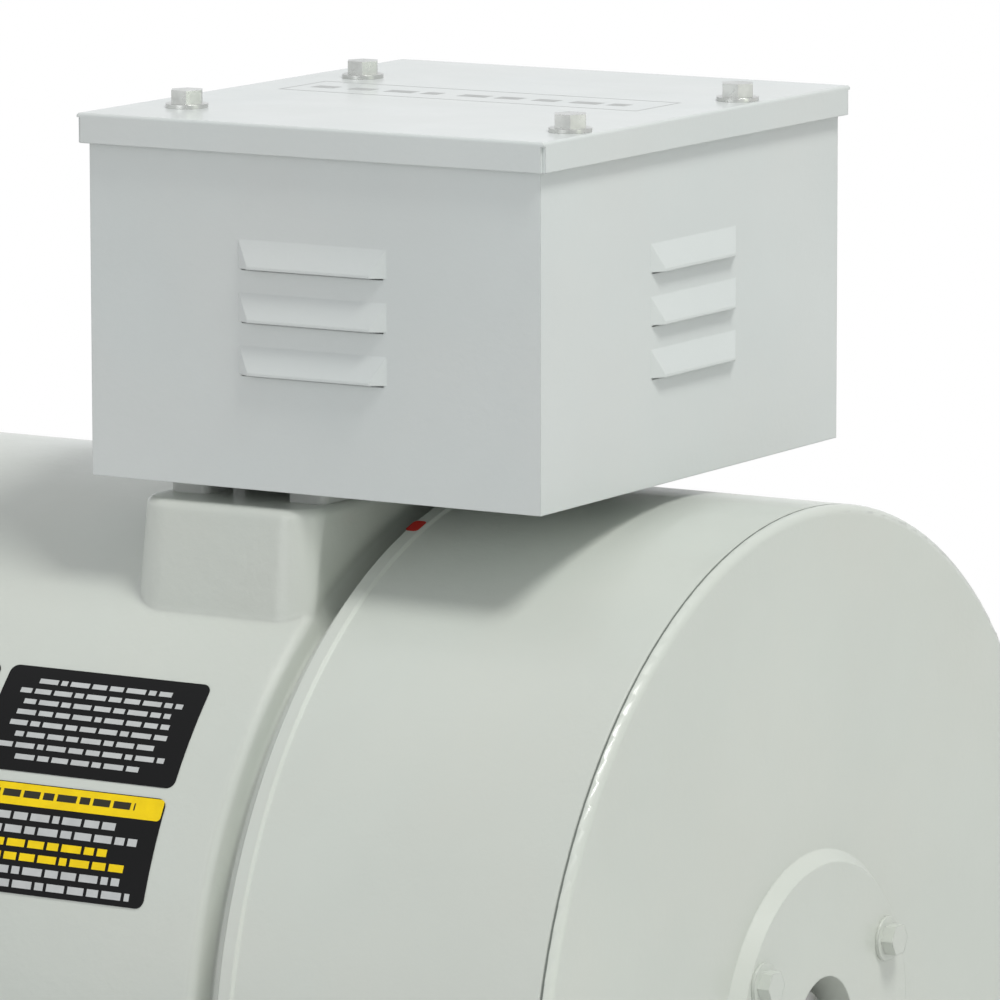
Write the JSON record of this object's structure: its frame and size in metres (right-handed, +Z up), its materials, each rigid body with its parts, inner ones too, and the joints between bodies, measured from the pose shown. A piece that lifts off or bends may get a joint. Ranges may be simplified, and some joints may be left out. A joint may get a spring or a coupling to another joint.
{
  "type": "generator alternator head",
  "caption": "Foot-mounted brushless alternator head: round body on two feet, louvred terminal box on a cast pedestal, closed rear cover and keyed drive shaft.",
  "frame": {"origin": "centre of the rectangle of foot holes, on the plane the feet stand on", "axes": "+X along the shaft towards the closed rear cover, -X out of the keyed shaft end, +Z up, +Y to the side opposite the data plates"},
  "size_m": [0.651, 0.354, 0.4906],
  "materials": {
    "painted_grey": "gloss",
    "box_paint": "gloss",
    "zinc": "satin",
    "brass": "satin",
    "tinned_copper": "satin",
    "laminations": "matte",
    "enamelled_winding": "gloss",
    "seal_rubber": "matte",
    "lead_sleeve": "matte",
    "cast_grey": "matte",
    "spacer_plastic": "matte",
    "shaft_steel": "satin",
    "fan_aluminium": "satin",
    "bearing_steel": "gloss",
    "board_plastic": "matte",
    "gland_plastic": "matte"
  },
  "bodies": {
    "stator": {"frame_casting": "painted_grey", "foot_left": "painted_grey", "foot_right": "painted_grey", "drive_end_bell": "painted_grey", "exciter_housing": "painted_grey", "rear_bracket": "painted_grey", "rear_cap_bolts": "painted_grey", "terminal_box": "box_paint", "terminal_box_lid": "box_paint", "gland_plate": "box_paint", "foot_screws": "zinc", "tie_bolts": "zinc", "drive_cap_screws": "zinc", "exciter_screws": "zinc", "lid_screws": "zinc", "box_screws": "zinc", "gland_plate_screws": "zinc", "earth_stud": "brass", "terminal_studs": "brass", "terminal_nuts": "brass", "lead_lugs": "tinned_copper", "stator_core": "laminations", "exciter_core": "laminations", "stator_winding": "enamelled_winding", "exciter_coils": "enamelled_winding", "drive_seal": "seal_rubber", "lid_gasket": "seal_rubber", "lead_grommet": "seal_rubber", "main_leads": "lead_sleeve", "drive_bearing_cap": "cast_grey", "rear_bearing_cap": "cast_grey", "box_spacers": "spacer_plastic", "regulator_heat_sink": "fan_aluminium", "drive_bearing_outer_ring": "bearing_steel", "rear_bearing_outer_ring": "bearing_steel", "terminal_board": "board_plastic", "regulator": "board_plastic", "cable_gland": "gland_plastic"},
    "rotor": {"shaft": "shaft_steel", "rotor_core": "laminations", "rotor_coils": "enamelled_winding", "cooling_fan": "fan_aluminium", "exciter_armature": "laminations", "armature_coils": "enamelled_winding", "rectifier_plate": "fan_aluminium", "rectifier_diodes": "tinned_copper", "drive_bearing_inner_ring": "bearing_steel", "rear_bearing_inner_ring": "bearing_steel"},
    "drive_cage": {"drive_bearing_cage": "brass", "drive_bearing_balls": "bearing_steel"},
    "rear_cage": {"rear_bearing_cage": "brass", "rear_bearing_balls": "bearing_steel"}
  },
  "joints": [
    {"name": "rotor_spin", "type": "hinge", "parent": "stator", "child": "rotor", "pos_m": [0, 0, 0.18], "axis": [1, 0, 0], "continuous": true},
    {"name": "drive_cage_spin", "type": "hinge", "parent": "stator", "child": "drive_cage", "pos_m": [0, 0, 0.18], "axis": [1, 0, 0], "continuous": true},
    {"name": "rear_cage_spin", "type": "hinge", "parent": "stator", "child": "rear_cage", "pos_m": [0, 0, 0.18], "axis": [1, 0, 0], "continuous": true}
  ],
  "couplings": [
    {"joint": "drive_cage_spin", "follows": "rotor_spin", "ratio": 0.38125},
    {"joint": "rear_cage_spin", "follows": "rotor_spin", "ratio": 0.4}
  ]
}
